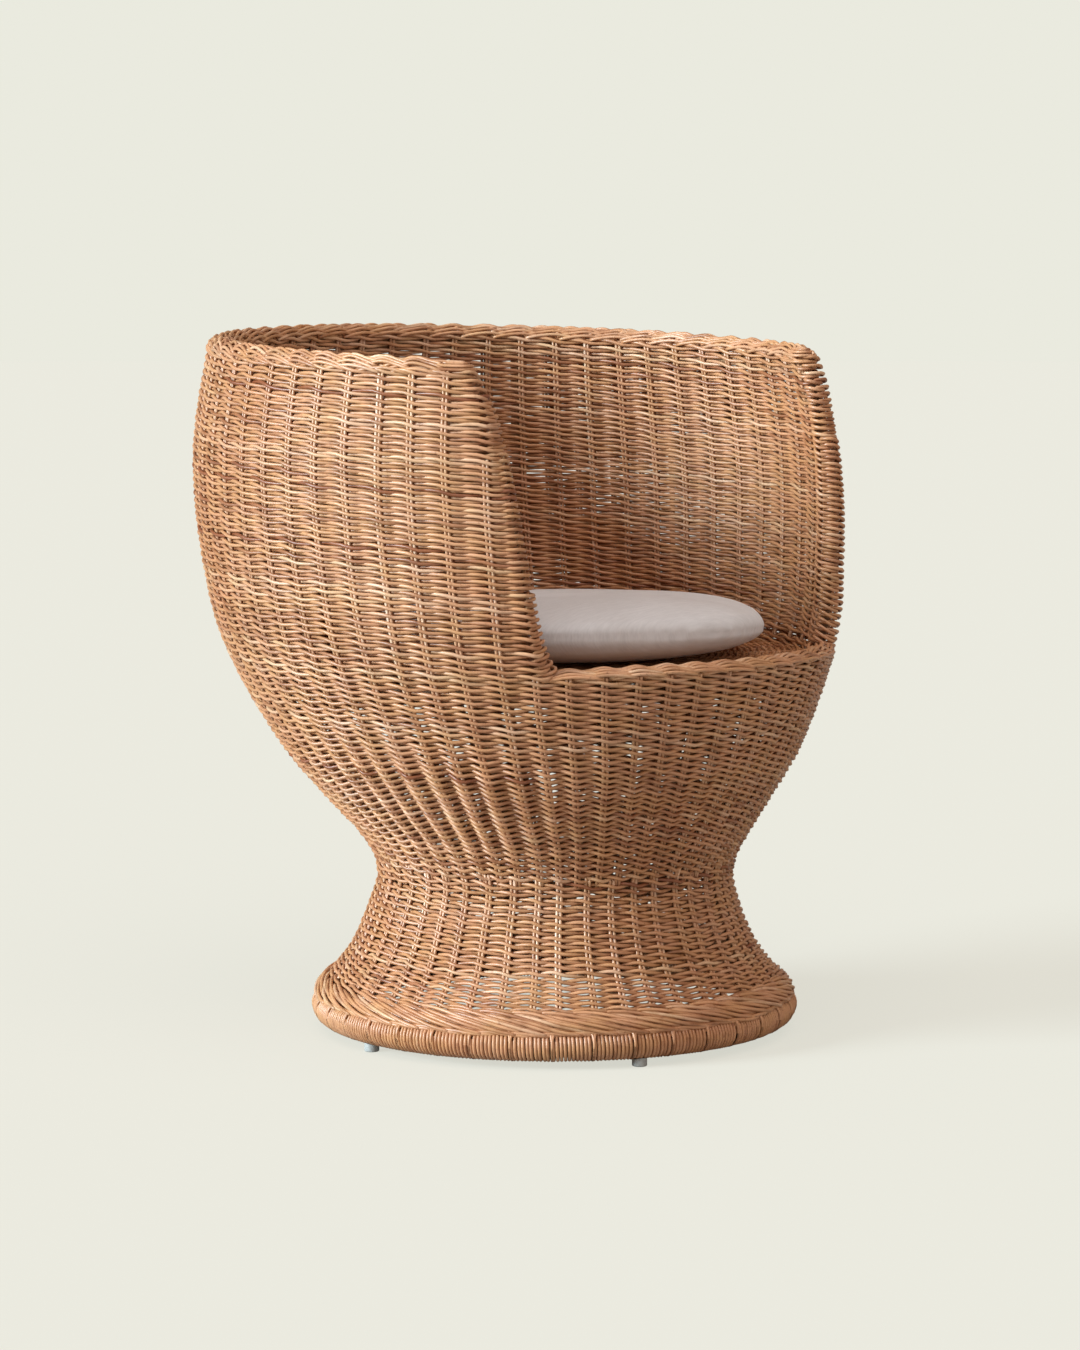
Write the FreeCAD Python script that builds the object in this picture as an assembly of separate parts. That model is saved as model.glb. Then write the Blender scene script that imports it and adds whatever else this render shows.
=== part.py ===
import FreeCAD, Part
import bisect
import math
import os

# Woven pedestal tub chair. Millimetres, +Z up, floor at z = 0.
# The sitter faces -Y, so the sitter's left arm is on +X.
# The origin is the centre of the chair's footprint, so the base axis lies a little in front of it.

V = FreeCAD.Vector

# ---- Driving dimensions -------------------------------------------------------------------
BASE_AXIS_Y = -56.7

# The outer face of the weave is a stack of circles: height, radius, and how far the circle's
# centre is set back from the base axis. The bucket leans back over its pedestal.
OUTER_STATIONS = (
    (40.0, 287.0, 0.0),
    (70.0, 261.0, 0.0),
    (100.0, 239.0, 0.0),
    (145.0, 220.0, 0.0),
    (190.0, 210.0, -2.0),
    (235.0, 232.0, 0.0),
    (270.0, 259.0, 8.0),
    (330.0, 303.0, 19.0),
    (400.0, 340.0, 31.0),
    (470.0, 366.0, 40.0),
    (540.0, 377.0, 48.0),
    (620.0, 383.0, 54.0),
    (700.0, 380.0, 58.0),
    (840.0, 355.0, 59.0),
)
LOFT_STEP = 25.0

SKIN = 8.0                 # thickness of one woven skin: a pair of stakes and the strands round it
POLE_R = 8.0               # frame poles between the two skins
POLE_END_GAP = 0.3         # a pole's end stands this far off the pole that it is nailed to
POLE_OFFSET = 17.0         # from the outer face in to a frame pole's centre line
PEDESTAL_OFFSET = 17.8     # the same for the ribs below the seat, where the wall slopes
INNER_SKIN = 26.0          # from the outer face in to the inner skin
WALL = 33.0                # whole double wall

FLOOR_GAP = 8.0            # glide height under the base ring
RING_R = 267.0
RING_POLE_R = 14.0
RING_WRAP_R = 19.0
RING_Z = FLOOR_GAP + RING_WRAP_R
WRAP_GAP_DEG = 2.4         # half the gap left in the wrapping where a rib lands

GLIDE_R = 8.5
GLIDE_COUNT = 5
GLIDE_FIRST_DEG = 206.0
NAIL_R = 1.2
NAIL_SHIFT_DEG = 0.8
RIB_NAIL_LENGTH = 32.0

FOOT_BORDER = (42.0, 62.0)
WAIST_BAND = (184.0, 194.0)
SEAT_TOP = 439.0
SEAT_THICK = 8.0
SHELL_FOOT = 440.0         # where the bowl ends and the double wall starts

RIM_BACK_Z = 824.5
RIM_SLOPE = 0.052          # the rim rises towards the back
RIM_BORDER = 16.0
HOOP_DROP = RIM_BORDER + 2 * POLE_R + 0.5 + POLE_END_GAP
EDGE_BAND = 16.0           # width of the wrapped band down the front of each arm

# Opening between the arms: how far its edge stands in front of the base axis.
OPENING_FOOT = 449.5
OPENING_TOP = 784.0
OPENING_FRONT = 221.0
APRON_RISE = 0.14          # the apron's top rises towards its middle

SEAT_RING_Z = 420.0
SEAT_RING_R = 10.0
SEAT_RING_OFFSET = 21.0
WAIST_HOOP_R = 7.0
SLAT_R = 9.0
SLAT_SPACING = 150.0
RIB_DEGREES = (30.0, 90.0, 150.0, 210.0, 270.0, 330.0)
BACK_RIB_DEGREES = (-92.0, -46.0, 0.0, 46.0, 92.0)
RIB_STEPS = 30             # sections along a bent pedestal rib

CUSHION_Y = BASE_AXIS_Y + 4.5
CUSHION_R = 250.0
CUSHION_LOW = SEAT_TOP + 0.5
CUSHION_MID = 469.5
CUSHION_EDGE_TOP = 499.5
CUSHION_TOP = 509.0
CUSHION_FLAT_R = 221.0
COVER = 1.2

ZIP_HALF_DEG = 46.0
ZIP_TAPE = (10.0, 0.8)     # half height and thickness
ZIP_TEETH = (2.4, 1.92)    # half height and thickness
TEETH_GAP = 0.08           # the teeth stand this far off the tape
ZIP_PLAY = 0.3
ZIP_REST_DEG = -43.0
SLIDER_LENGTH = 11.0
SLIDER_HALF_Z = 5.0
SLIDER_WALL = 2.6
PULL_PIN_R = 0.8
PULL_EYE_R = 2.0
PULL_WIDTH = 5.0
PULL_LENGTH = 22.0
PULL_THICK = 1.6

FAR = 600.0


# ---- The outer face as a formula ------------------------------------------------------------
def cubic_through(stations, column, height):
    """Value of one column at a height, on a smooth curve through the stations, and its slope."""
    heights = [s[0] for s in stations]
    last = len(heights) - 2
    i = min(max(bisect.bisect_right(heights, height) - 1, 0), last)

    def slope(k):
        low = max(k - 1, 0)
        high = min(k + 1, last + 1)
        return (stations[high][column] - stations[low][column]) / (heights[high] - heights[low])

    span = heights[i + 1] - heights[i]
    t = (height - heights[i]) / span
    a = stations[i][column]
    b = stations[i + 1][column]
    ma = slope(i) * span
    mb = slope(i + 1) * span
    value = (2 * t**3 - 3 * t**2 + 1) * a + (t**3 - 2 * t**2 + t) * ma
    value += (3 * t**2 - 2 * t**3) * b + (t**3 - t**2) * mb
    rate = ((6 * t**2 - 6 * t) * (a - b) + (3 * t**2 - 4 * t + 1) * ma + (3 * t**2 - 2 * t) * mb) / span
    return value, rate


def circle_at(height, inset):
    """Radius and centre Y of the face that lies `inset` inside the outer face."""
    radius, slope = cubic_through(OUTER_STATIONS, 1, height)
    set_back, _ = cubic_through(OUTER_STATIONS, 2, height)
    return radius - inset * math.sqrt(1 + slope**2), BASE_AXIS_Y + set_back


def on_face(height, inset, degrees):
    """Point on that face; degrees are counted from the back towards +X."""
    radius, centre_y = circle_at(height, inset)
    angle = math.radians(degrees)
    return V(radius * math.sin(angle), centre_y + radius * math.cos(angle), height)


def rim_height(y, below=0.0):
    radius, centre_y = circle_at(RIM_BACK_Z, 0.0)
    return RIM_BACK_Z + RIM_SLOPE * (y - centre_y - radius) - below


def opening_edge_y(height):
    """Y of the arms' front edge, which leans back and rounds off towards the rim."""
    s = (height - OPENING_FOOT) / (OPENING_TOP - OPENING_FOOT)
    s = max(s, 0.0)
    return BASE_AXIS_Y - OPENING_FRONT + 38.0 * s**1.2 + 29.0 * s**6


# ---- Solids that the pieces are cut from ----------------------------------------------------
def core(inset, low, high):
    """Everything inside the face that lies `inset` inside the outer face."""
    steps = max(2, round((high - low) / LOFT_STEP))
    wires = []
    for k in range(steps + 1):
        height = low + (high - low) * k / steps
        radius, centre_y = circle_at(height, inset)
        ring = Part.makeCircle(radius, V(0, centre_y, height), V(0, 0, 1))
        wires.append(Part.Wire([ring]))
    return Part.makeLoft(wires, True)


def layer(outside, inside, low, high):
    """A woven skin between two insets and two heights."""
    return core(outside, low, high).cut(core(inside, low, high))


def below_rim(drop):
    """Half space under the tilted rim plane, lowered by `drop`."""
    edge = []
    for y, lift in ((-FAR, None), (FAR, None), (FAR, -FAR), (-FAR, -FAR)):
        z = rim_height(y, drop) if lift is None else lift
        edge.append(V(-FAR, y, z))
    edge.append(edge[0])
    return Part.Face(Part.makePolygon(edge)).extrude(V(2 * FAR, 0, 0))


def opening_cutter(shift, foot_drop=0.0):
    """Prism along X that opens the bucket's front; `shift` moves its edge back."""
    steps = 9
    top = 900.0
    edge = []
    for k in range(steps + 1):
        height = OPENING_FOOT + (860.0 - OPENING_FOOT) * k / steps
        edge.append(V(-FAR, opening_edge_y(min(height, 830.0)) + shift, height))
    corner = V(-FAR, edge[0].y, OPENING_FOOT - foot_drop)
    front = V(-FAR, BASE_AXIS_Y - FAR, OPENING_FOOT - foot_drop)
    if foot_drop == 0.0:
        front.z += APRON_RISE * (corner.y - front.y)
    curve = Part.BSplineCurve()
    curve.interpolate(edge)
    back = V(-FAR, edge[-1].y, top)
    far_top = V(-FAR, front.y, top)
    outline = [curve.toShape()]
    corners = [edge[-1], back, far_top, front, corner, edge[0]]
    for a, b in zip(corners, corners[1:]):
        if a.distanceToPoint(b) > 1e-6:
            outline.append(Part.makeLine(a, b))
    return Part.Face(Part.Wire(outline)).extrude(V(2 * FAR, 0, 0))


def pole(points, radius):
    """A round pole bent along a smooth curve through the points."""
    sections = []
    for k, centre in enumerate(points):
        before = points[max(k - 1, 0)]
        after = points[min(k + 1, len(points) - 1)]
        sections.append(Part.Wire([Part.makeCircle(radius, centre, after - before)]))
    return Part.makeLoft(sections, True)


def torus(ring_radius, pole_radius, height, centre_y):
    return Part.makeTorus(ring_radius, pole_radius, V(0, centre_y, height), V(0, 0, 1))


def wedge(first_deg, last_deg, radius, centre_y, low, high):
    """Upright sector of a cylinder between two angles counted from the back towards +X."""
    sweep = last_deg - first_deg
    sector = Part.makeCylinder(radius, high - low, V(0, 0, 0), V(0, 0, 1), sweep)
    sector.rotate(V(0, 0, 0), V(0, 0, 1), 90.0 - last_deg)
    sector.translate(V(0, centre_y, low))
    return sector


def other_side(shape):
    """The same piece on the other side of the chair."""
    return shape.mirror(V(0, 0, 0), V(1, 0, 0))


def largest(shape):
    return max(shape.Solids, key=lambda solid: solid.Volume)


def group(solids):
    return Part.makeCompound(solids)


# ---- Base ---------------------------------------------------------------------------------
def base_ring_pole():
    return torus(RING_R, RING_POLE_R, RING_Z, BASE_AXIS_Y)


def base_ring_wrapping():
    wrapped = torus(RING_R, RING_WRAP_R, RING_Z, BASE_AXIS_Y).cut(base_ring_pole())
    step = RIB_DEGREES[1] - RIB_DEGREES[0]
    arcs = []
    for degrees in RIB_DEGREES:
        sector = wedge(degrees + WRAP_GAP_DEG, degrees + step - WRAP_GAP_DEG, 400.0, BASE_AXIS_Y, 0.0, 60.0)
        arcs.append(largest(wrapped.common(sector)))
    return group(arcs)


def on_ring(degrees, height):
    angle = math.radians(degrees)
    return V(RING_R * math.sin(angle), BASE_AXIS_Y + RING_R * math.cos(angle), height)


def glide_angles():
    return [GLIDE_FIRST_DEG + k * 360.0 / GLIDE_COUNT for k in range(GLIDE_COUNT)]


def foot_glides():
    ring = torus(RING_R, RING_WRAP_R, RING_Z, BASE_AXIS_Y)
    glides = []
    for degrees in glide_angles():
        disc = Part.makeCylinder(GLIDE_R, FLOOR_GAP + 2.0, on_ring(degrees, 0.0), V(0, 0, 1))
        edges = [e for e in disc.Edges if abs(e.BoundBox.ZMax) < 0.01]
        disc = disc.makeFillet(1.5, edges)
        glides.append(largest(disc.cut(ring).cut(glide_nail(degrees))))
    return group(glides)


def glide_nail(degrees):
    foot = on_ring(degrees, 2.0)
    head = Part.makeCylinder(2.6 * NAIL_R, 1.2, foot, V(0, 0, 1))
    return head.fuse(Part.makeCylinder(NAIL_R, 22.0, foot, V(0, 0, 1)))


def glide_nails():
    return group([glide_nail(degrees) for degrees in glide_angles()])


def foot_border():
    border = layer(-1.0, SKIN, *FOOT_BORDER)
    return largest(border.cut(torus(RING_R, RING_WRAP_R, RING_Z, BASE_AXIS_Y)))


# ---- Frame --------------------------------------------------------------------------------
def waist_hoop():
    middle = sum(WAIST_BAND) / 2
    radius, centre_y = circle_at(middle, PEDESTAL_OFFSET + POLE_R + WAIST_HOOP_R + 0.6)
    return torus(radius, WAIST_HOOP_R, middle, centre_y)


def seat_ring():
    radius, centre_y = circle_at(SEAT_RING_Z, SEAT_RING_OFFSET)
    return torus(radius, SEAT_RING_R, SEAT_RING_Z, centre_y)


def trimmed(pole_solid, low, high_drop=None, high=None):
    """Ends a pole on a level cut at `low`, and at `high` or `high_drop` under the rim plane."""
    slab = Part.makeBox(2 * FAR, 2 * FAR, (high or 900.0) - low, V(-FAR, -FAR, low))
    piece = pole_solid.common(slab)
    if high_drop is not None:
        piece = piece.common(below_rim(high_drop))
    return largest(piece)


def pedestal_rib(degrees):
    if degrees > 180.0:
        return other_side(pedestal_rib(360.0 - degrees))
    foot = RING_Z + RING_POLE_R + POLE_END_GAP
    head = SEAT_RING_Z - SEAT_RING_R - POLE_END_GAP
    low = foot - POLE_R
    high = head + POLE_R
    heights = [low + (high - low) * k / RIB_STEPS for k in range(RIB_STEPS + 1)]
    rib = pole([on_face(z, PEDESTAL_OFFSET, degrees) for z in heights], POLE_R)
    return trimmed(rib, foot, high=head)


def back_rib(degrees):
    if degrees < 0.0:
        return other_side(back_rib(-degrees))
    foot = SEAT_RING_Z + SEAT_RING_R + POLE_END_GAP
    low = foot - POLE_R
    high = rim_height(on_face(RIM_BACK_Z, POLE_OFFSET, degrees).y, RIM_BORDER)
    heights = [low + (high - low) * k / 8.0 for k in range(9)]
    rib = pole([on_face(z, POLE_OFFSET, degrees) for z in heights], POLE_R)
    return trimmed(rib, foot, high_drop=HOOP_DROP)


def rim_circle(inset, drop):
    """Centre and radius of the circle that follows the wall at the rim, in the rim's tilted plane."""
    back = rim_height(on_face(RIM_BACK_Z, inset, 0.0).y, drop)
    side = rim_height(circle_at(RIM_BACK_Z, inset)[1], drop)
    radius, centre_y = circle_at(side, inset)
    back_y = sum(circle_at(back, inset))
    return V(0, back_y - radius, rim_height(back_y - radius, drop)), radius


def rim_hoop():
    centre, radius = rim_circle(POLE_OFFSET, RIM_BORDER + POLE_R + 0.5)
    hoop = Part.makeTorus(radius, POLE_R, centre, V(0, -RIM_SLOPE, 1))
    return largest(hoop.cut(opening_cutter(EDGE_BAND + 1.0)))


def left_arm_post():
    """Pole behind the wrapped front edge of the left arm."""
    foot = SEAT_RING_Z + SEAT_RING_R + POLE_END_GAP
    low = foot - POLE_R
    high = rim_height(opening_edge_y(OPENING_TOP) + EDGE_BAND + POLE_R, RIM_BORDER)
    points = []
    for k in range(11):
        z = low + (high - low) * k / 10.0
        radius, centre_y = circle_at(z, POLE_OFFSET)
        y = opening_edge_y(z) + EDGE_BAND + POLE_R + 6.0
        points.append(V(math.sqrt(radius**2 - (y - centre_y) ** 2), y, z))
    return trimmed(pole(points, POLE_R), foot, high_drop=HOOP_DROP)


def seat_slat(x):
    radius, centre_y = circle_at(SEAT_RING_Z, SEAT_RING_OFFSET)
    reach = math.sqrt(radius**2 - x**2)
    height = SEAT_TOP - SEAT_THICK - SLAT_R
    slat = Part.makeCylinder(SLAT_R, 2 * reach, V(x, centre_y - reach, height), V(0, 1, 0))
    return largest(slat.cut(seat_ring()))


def rib_nail(degrees):
    """Nail driven up through the base ring into the foot of a rib, beside any glide's nail."""
    foot = on_ring(degrees + NAIL_SHIFT_DEG, RING_Z - RING_POLE_R + 0.5)
    return Part.makeCylinder(NAIL_R, RIB_NAIL_LENGTH, foot, V(0, 0, 1))


def rib_nails():
    return group([rib_nail(degrees) for degrees in RIB_DEGREES])


# ---- Weave --------------------------------------------------------------------------------
def skirt_weave():
    return largest(layer(0.0, SKIN, FOOT_BORDER[1], WAIST_BAND[0]))


def waist_band():
    return largest(layer(-1.5, SKIN, *WAIST_BAND))


def bowl_weave():
    return largest(layer(0.0, SKIN, WAIST_BAND[1], SHELL_FOOT))


def wall_panel(outside, inside):
    panel = layer(outside, inside, SHELL_FOOT, 835.0)
    panel = panel.common(below_rim(RIM_BORDER))
    return largest(panel.cut(opening_cutter(EDGE_BAND, 60.0)))


def left_arm_edge_band():
    wall = layer(0.0, WALL, SHELL_FOOT, 835.0).common(below_rim(RIM_BORDER))
    band = wall.common(opening_cutter(EDGE_BAND, 60.0)).cut(opening_cutter(0.0, 60.0))
    return largest(band.common(Part.makeBox(FAR, 2 * FAR, FAR, V(0, -FAR, 400.0))))


def apron_border():
    ring = layer(-1.0, WALL - 3.0, SHELL_FOOT, 480.0)
    return largest(ring.common(opening_cutter(0.0, 60.0)).cut(opening_cutter(0.0)))


def rim_border():
    """Plaited edge along the top of the wall: flat underneath, rounded on top."""
    centre, radius = rim_circle(WALL / 2, RIM_BORDER)
    half = WALL / 2 + 2.0
    shoulder = 6.0
    outline = [
        Part.makeLine(V(radius - half, 0, 0), V(radius + half, 0, 0)),
        Part.makeLine(V(radius + half, 0, 0), V(radius + half, 0, shoulder)),
        Part.Arc(V(radius + half, 0, shoulder), V(radius, 0, RIM_BORDER), V(radius - half, 0, shoulder)).toShape(),
        Part.makeLine(V(radius - half, 0, shoulder), V(radius - half, 0, 0)),
    ]
    border = Part.Face(Part.Wire(outline)).revolve(V(0, 0, 0), V(0, 0, 1), 360)
    border.rotate(V(0, 0, 0), V(1, 0, 0), math.degrees(math.atan(RIM_SLOPE)))
    border.translate(centre)
    return largest(border.cut(opening_cutter(0.0)))


def seat_panel():
    return core(INNER_SKIN + 0.5, SEAT_TOP - SEAT_THICK, SEAT_TOP)


# ---- Seat cushion -------------------------------------------------------------------------
def cushion_body(inset):
    """The cushion's round, plump shape, made smaller all over by `inset`."""
    low = CUSHION_LOW + inset
    high = CUSHION_TOP - inset
    rim = CUSHION_R - inset
    flat_low = V(CUSHION_FLAT_R, 0, low)
    side = V(rim, 0, CUSHION_MID)
    shoulder = V(CUSHION_FLAT_R, 0, CUSHION_EDGE_TOP - inset)
    rise = high - shoulder.z
    dome_r = (CUSHION_FLAT_R**2 + rise**2) / (2 * rise)
    half_way = CUSHION_FLAT_R / 2
    dome_mid = V(half_way, 0, high - dome_r + math.sqrt(dome_r**2 - half_way**2))
    outline = [
        Part.makeLine(V(0, 0, low), flat_low),
        Part.Arc(flat_low, side, shoulder).toShape(),
        Part.Arc(shoulder, dome_mid, V(0, 0, high)).toShape(),
        Part.makeLine(V(0, 0, high), V(0, 0, low)),
    ]
    body = Part.Face(Part.Wire(outline)).revolve(V(0, 0, 0), V(0, 0, 1), 360)
    body.translate(V(0, CUSHION_Y, 0))
    return body


def cushion_cover():
    return cushion_body(0.0).cut(cushion_body(COVER))


def cushion_insert():
    return cushion_body(COVER + 0.2)


def zip_tape():
    half_z, thick = ZIP_TAPE
    sleeve = cushion_body(-thick).cut(cushion_body(0.0))
    low = CUSHION_MID - half_z
    return largest(sleeve.common(wedge(-ZIP_HALF_DEG, ZIP_HALF_DEG, 300.0, CUSHION_Y, low, low + 2 * half_z)))


def ring_piece(inner, outer, half_z, first_deg, last_deg):
    """Upright curved block about the cushion's axis at seam height."""
    low = CUSHION_MID - half_z
    centre = V(0, CUSHION_Y, low)
    tube = Part.makeCylinder(outer, 2 * half_z, centre).cut(Part.makeCylinder(inner, 2 * half_z, centre))
    return largest(tube.common(wedge(first_deg, last_deg, 300.0, CUSHION_Y, low, low + 2 * half_z)))


TEETH_INNER = CUSHION_R + ZIP_TAPE[1] + TEETH_GAP
TEETH_OUTER = TEETH_INNER + ZIP_TEETH[1]
SLIDER_INNER = TEETH_INNER + ZIP_PLAY
SLIDER_OUTER = TEETH_OUTER + ZIP_PLAY + SLIDER_WALL
PIN_R = SLIDER_OUTER + PULL_EYE_R + ZIP_PLAY
SLIDER_HALF_DEG = math.degrees(SLIDER_LENGTH / 2 / SLIDER_OUTER)


def zip_teeth():
    return ring_piece(TEETH_INNER, TEETH_OUTER, ZIP_TEETH[0], -ZIP_HALF_DEG, ZIP_HALF_DEG)


def zip_end_stops():
    stops = []
    for side in (-1, 1):
        far = side * (ZIP_HALF_DEG + 0.1)
        near = far + side * 0.8
        first, last = min(near, far), max(near, far)
        stops.append(ring_piece(TEETH_INNER + 0.05, TEETH_OUTER + 0.5, ZIP_TEETH[0] + 1.0, first, last))
    return group(stops)


def slider_frame(shape):
    """Places a shape built at the back of the cushion at the slider's rest angle."""
    shape.rotate(V(0, 0, 0), V(0, 0, 1), -ZIP_REST_DEG)
    shape.translate(V(0, CUSHION_Y, 0))
    return shape


def zip_slider():
    body = ring_piece(SLIDER_INNER, SLIDER_OUTER, SLIDER_HALF_Z, -SLIDER_HALF_DEG, SLIDER_HALF_DEG)
    channel = ring_piece(SLIDER_INNER - 1.0, TEETH_OUTER + ZIP_PLAY, ZIP_TEETH[0] + ZIP_PLAY, -5.0, 5.0)
    body = largest(body.cut(channel))
    body.translate(V(0, -CUSHION_Y, 0))
    lug_x = PULL_WIDTH / 2 + 0.4
    for side in (-1, 1):
        x = lug_x if side > 0 else -lug_x - 1.4
        lug = Part.makeBox(1.4, PIN_R + 1.6 - SLIDER_OUTER + 0.6, 3.2, V(x, SLIDER_OUTER - 0.6, CUSHION_MID - 1.6))
        body = body.fuse(lug)
    pin_half = lug_x + 1.0
    pin = Part.makeCylinder(PULL_PIN_R, 2 * pin_half, V(-pin_half, PIN_R, CUSHION_MID), V(1, 0, 0))
    return slider_frame(largest(body.fuse(pin)))


def zip_pull_tab():
    half = PULL_WIDTH / 2
    eye = Part.makeCylinder(PULL_EYE_R, PULL_WIDTH, V(-half, PIN_R, CUSHION_MID), V(1, 0, 0))
    plate = Part.makeBox(
        PULL_WIDTH, PULL_THICK, PULL_LENGTH, V(-half, PIN_R - PULL_THICK / 2, CUSHION_MID - PULL_LENGTH)
    )
    hole = Part.makeCylinder(PULL_PIN_R + 0.25, 2 * PULL_WIDTH, V(-PULL_WIDTH, PIN_R, CUSHION_MID), V(1, 0, 0))
    grip = Part.makeCylinder(1.4, 6.0, V(0, PIN_R - 3.0, CUSHION_MID - PULL_LENGTH + 3.5), V(0, 1, 0))
    return slider_frame(largest(eye.fuse(plate).cut(hole).cut(grip)))


# ---- All pieces ---------------------------------------------------------------------------
def chair_pieces():
    pieces = {
        "base_ring_pole": base_ring_pole(),
        "base_ring_wrapping": base_ring_wrapping(),
        "foot_glides": foot_glides(),
        "glide_nails": glide_nails(),
        "rib_nails": rib_nails(),
        "foot_border": foot_border(),
        "skirt_weave": skirt_weave(),
        "waist_band": waist_band(),
        "bowl_weave": bowl_weave(),
        "outer_wall_weave": wall_panel(0.0, SKIN),
        "inner_wall_weave": wall_panel(INNER_SKIN, WALL),
        "left_arm_edge_band": left_arm_edge_band(),
        "right_arm_edge_band": other_side(left_arm_edge_band()),
        "rim_border": rim_border(),
        "apron_border": apron_border(),
        "seat_panel": seat_panel(),
        "waist_hoop": waist_hoop(),
        "seat_ring": seat_ring(),
        "rim_hoop": rim_hoop(),
        "left_arm_post": left_arm_post(),
        "right_arm_post": other_side(left_arm_post()),
    }
    for number, degrees in enumerate(RIB_DEGREES, 1):
        pieces[f"pedestal_rib_{number}"] = pedestal_rib(degrees)
    for number, degrees in enumerate(BACK_RIB_DEGREES, 1):
        pieces[f"back_rib_{number}"] = back_rib(degrees)
    for name, x in (("left", SLAT_SPACING), ("middle", 0.0), ("right", -SLAT_SPACING)):
        pieces[f"{name}_seat_slat"] = seat_slat(x)
    return pieces


def cushion_pieces():
    return {
        "cushion_cover": cushion_cover(),
        "cushion_insert": cushion_insert(),
        "zip_tape": zip_tape(),
        "zip_teeth": zip_teeth(),
        "zip_end_stops": zip_end_stops(),
        "zip_slider": zip_slider(),
        "zip_pull_tab": zip_pull_tab(),
    }


def main():
    os.makedirs("parts", exist_ok=True)
    for name, shape in {**chair_pieces(), **cushion_pieces()}.items():
        shape.exportStep(f"parts/{name}.step")
        box = shape.BoundBox
        print(
            f"{name}: solids {len(shape.Solids)} valid {shape.isValid()} volume {shape.Volume:.0f} "
            f"x {box.XMin:.1f}..{box.XMax:.1f} y {box.YMin:.1f}..{box.YMax:.1f} z {box.ZMin:.1f}..{box.ZMax:.1f}"
        )


main()
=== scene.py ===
"""Looks of the woven pedestal tub chair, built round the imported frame. Metres, +Z up, sitter faces -Y."""
import math

import bmesh
import bpy
import numpy as np
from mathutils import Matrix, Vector


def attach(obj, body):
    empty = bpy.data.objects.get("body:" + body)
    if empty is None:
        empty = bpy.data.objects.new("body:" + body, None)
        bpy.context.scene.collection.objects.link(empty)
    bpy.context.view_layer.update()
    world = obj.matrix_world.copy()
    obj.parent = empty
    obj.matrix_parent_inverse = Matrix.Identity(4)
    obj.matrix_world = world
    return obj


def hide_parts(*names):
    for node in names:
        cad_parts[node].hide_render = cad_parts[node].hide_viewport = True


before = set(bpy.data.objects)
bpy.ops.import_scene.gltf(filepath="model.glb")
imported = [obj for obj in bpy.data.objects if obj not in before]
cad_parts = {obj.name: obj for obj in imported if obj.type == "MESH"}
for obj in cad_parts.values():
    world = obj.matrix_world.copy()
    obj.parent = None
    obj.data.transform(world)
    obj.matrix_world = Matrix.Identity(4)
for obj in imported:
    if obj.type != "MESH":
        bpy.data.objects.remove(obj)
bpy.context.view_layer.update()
rng = np.random.default_rng(11)
TAU = 2 * math.pi

# ---- The outer face: height, radius, set-back of the circle's centre ----------------------
BASE_Y = -0.0567
STATIONS = np.array((
    (40, 287, 0), (70, 261, 0), (100, 239, 0), (145, 220, 0), (190, 210, -2), (235, 232, 0),
    (270, 259, 8), (330, 303, 19), (400, 340, 31), (470, 366, 40), (540, 377, 48),
    (620, 383, 54), (700, 380, 58), (840, 355, 59),
)) / 1000
STAKE_R = 0.0019
STRAND_R = 0.00210
SWING = 0.0034             # a strand swings this far either side of the stakes
DIP = 0.0022               # and this far up and down as it twists with its partner
ROW_PITCH = 0.0083
FOOT_TIGHTER = 0.0014      # the rows lie closer together at the foot
OUTER_IN = 0.0052          # from the outer face in to the outer skin's middle
INNER_IN = 0.0282          # from the outer face in to the inner skin's middle
TURN_R = (INNER_IN - OUTER_IN) / 2
RIM_SLOPE = 0.052
RIM_BACK = 0.8085          # underside of the rim border at the back
SEAT_TOP = 0.439
ARM_FOOT = 0.4440          # rows above this go round the arms, rows below go right round
PER = 6                    # samples from one stake to the next
SIDES = 6


def through(column, z):
    """The smooth curve through a column of the stations, and its slope."""
    zs, v = STATIONS[:, 0], STATIONS[:, column]
    m = np.empty_like(v)
    m[1:-1] = (v[2:] - v[:-2]) / (zs[2:] - zs[:-2])
    m[0], m[-1] = (v[1] - v[0]) / (zs[1] - zs[0]), (v[-1] - v[-2]) / (zs[-1] - zs[-2])
    z = np.clip(z, zs[0], zs[-1])
    k = np.clip(np.searchsorted(zs, z, "right") - 1, 0, len(zs) - 2)
    h = zs[k + 1] - zs[k]
    t = (z - zs[k]) / h
    value = (
        (1 + 2 * t) * (1 - t) ** 2 * v[k] + t * (1 - t) ** 2 * h * m[k]
        + t * t * (3 - 2 * t) * v[k + 1] - t * t * (1 - t) * h * m[k + 1]
    )
    slope = (
        6 * t * (t - 1) * (v[k] - v[k + 1]) / h
        + (1 - t) * (1 - 3 * t) * m[k] + t * (3 * t - 2) * m[k + 1]
    )
    return value, slope


def on_shell(theta, z, out):
    """Points `out` off the outer face at angles from the back towards +X, and the normals there."""
    theta, z = np.broadcast_arrays(np.asarray(theta, float), np.asarray(z, float))
    radius, slope = through(1, z)
    back, lean = through(2, z)
    s, c = np.sin(theta), np.cos(theta)
    normal = np.stack([s, c, -(slope + lean * c)], -1)
    normal /= np.linalg.norm(normal, axis=-1, keepdims=True)
    point = np.stack([radius * s, BASE_Y + back + radius * c, z], -1)
    return point + np.asarray(out)[..., None] * normal, normal


def smooth(x, low, high):
    t = np.clip((x - low) / (high - low), 0, 1)
    return t * t * (3 - 2 * t)


def unit(v):
    return v / np.linalg.norm(v, axis=-1, keepdims=True)


# ---- Stakes: angles, and the coordinate that counts them ----------------------------------
OUTER_COUNT, SKIRT_COUNT, INNER_COUNT = 58, 46, 51


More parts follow.
